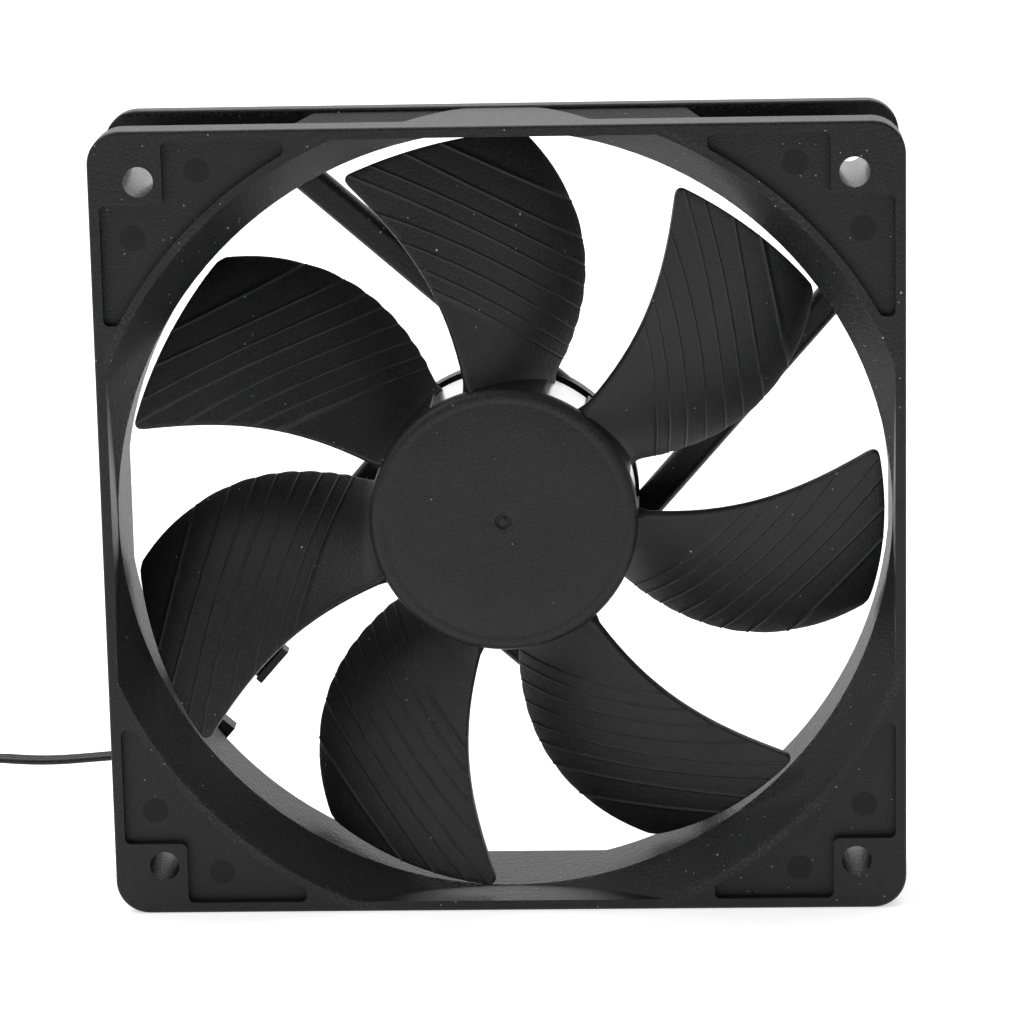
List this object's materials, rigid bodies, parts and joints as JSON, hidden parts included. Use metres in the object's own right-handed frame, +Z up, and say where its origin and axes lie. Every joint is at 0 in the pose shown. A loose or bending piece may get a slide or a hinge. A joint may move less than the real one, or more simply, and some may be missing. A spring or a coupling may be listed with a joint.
{
  "type": "case fan",
  "caption": "Square axial cooling fan for a computer case, with a spinning seven-bladed impeller, screw holes at its corners and a thin lead with a plug.",
  "frame": {"origin": "middle of the square frame, on the spin axis, halfway through its depth", "axes": "+Z up, -Y along the spin axis towards the intake face with the hub cap, +Y towards the outlet face with the struts, +X to the right seen from the intake"},
  "size_m": [0.1864, 0.0384, 0.12],
  "materials": {
    "frame_plastic": "fine satin grain, moulded black",
    "rotor_plastic": "fine satin grain, moulded black",
    "yoke_steel": "bright drawn steel",
    "magnet": "bonded ferrite, dark grey",
    "brass": "turned",
    "shaft_steel": "ground",
    "bronze": "sintered, oil-filled",
    "nylon": "natural nylon",
    "stator_steel": "stamped laminations",
    "copper": "enamelled copper wire",
    "tinned_metal": "tinned",
    "board": "green solder mask",
    "chip_black": "moulded epoxy",
    "ceramic": "fired ceramic",
    "wire_black": "soft PVC insulation, slight sheen",
    "label_film": "blank satin film",
    "tie_black": "soft",
    "plug_black": "moulded nylon"
  },
  "bodies": {
    "frame": {"frame": "frame_plastic", "sleeve_bearing": "bronze", "front_washer": "nylon", "rear_washer": "nylon", "bearing_cap": "frame_plastic", "stator_core": "stator_steel", "stator_insulator_front": "nylon", "stator_insulator_rear": "nylon", "winding_1": "copper", "winding_2": "copper", "winding_3": "copper", "winding_4": "copper", "terminal_pins": "tinned_metal", "circuit_board": "board", "hall_driver_ic": "chip_black", "capacitors": "ceramic", "resistors": "chip_black", "diode": "chip_black", "solder_joints": "tinned_metal", "lead_wires": "wire_black", "label": "label_film", "lead_cable": "wire_black", "lead_coil": "wire_black", "coil_tie": "tie_black", "lead_tail": "wire_black", "plug_housing": "plug_black", "plug_contacts": "tinned_metal"},
    "rotor": {"impeller": "rotor_plastic", "rotor_yoke": "yoke_steel", "ring_magnet": "magnet", "shaft_bushing": "brass", "shaft": "shaft_steel", "retaining_ring": "shaft_steel"}
  },
  "joints": [
    {"name": "rotor_spin", "type": "hinge", "parent": "frame", "child": "rotor", "pos_m": [0, 0, 0], "axis": [0, -1, 0], "continuous": true}
  ]
}
